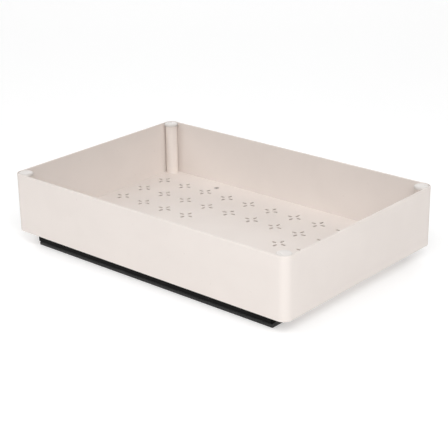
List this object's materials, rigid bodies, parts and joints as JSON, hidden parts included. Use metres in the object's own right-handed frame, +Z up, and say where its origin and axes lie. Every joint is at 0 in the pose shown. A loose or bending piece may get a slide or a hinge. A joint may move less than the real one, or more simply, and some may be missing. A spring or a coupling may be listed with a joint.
{
  "type": "nesting tray",
  "caption": "Shallow rectangular nest tray with a slotted ventilated floor, capped round posts in its corners and two black rails below for standing or sliding in.",
  "frame": {"origin": "centre of the footprint, on the underside of the glide strips that the tray rests on", "axes": "+X along the long side, +Y from the front long wall to the rear one, +Z up out of the open top"},
  "size_m": [0.6, 0.4, 0.1295],
  "materials": {
    "tray_plastic": "fine moulded texture, off-white cream",
    "post_plastic": "smooth moulded, the tray's cream",
    "cap_plastic": "satin, cool off-white",
    "rail_metal": "black powder coat, fine texture",
    "strip_plastic": "black, lightly rubbed",
    "plug_plastic": "black, moulded",
    "zinc_steel": "zinc plated"
  },
  "bodies": {
    "root": {"tray_body": "tray_plastic", "corner_post_front_left": "post_plastic", "corner_post_front_right": "post_plastic", "corner_post_rear_left": "post_plastic", "corner_post_rear_right": "post_plastic", "post_cap_front_left": "cap_plastic", "post_cap_front_right": "cap_plastic", "post_cap_rear_left": "cap_plastic", "post_cap_rear_right": "cap_plastic", "rail_front": "rail_metal", "rail_rear": "rail_metal", "glide_strip_front": "strip_plastic", "glide_strip_rear": "strip_plastic", "rail_end_plug_front_left": "plug_plastic", "rail_end_plug_front_right": "plug_plastic", "rail_end_plug_rear_left": "plug_plastic", "rail_end_plug_rear_right": "plug_plastic", "rail_screws": "zinc_steel", "rail_nuts": "zinc_steel", "post_screws": "zinc_steel"}
  },
  "joints": []
}
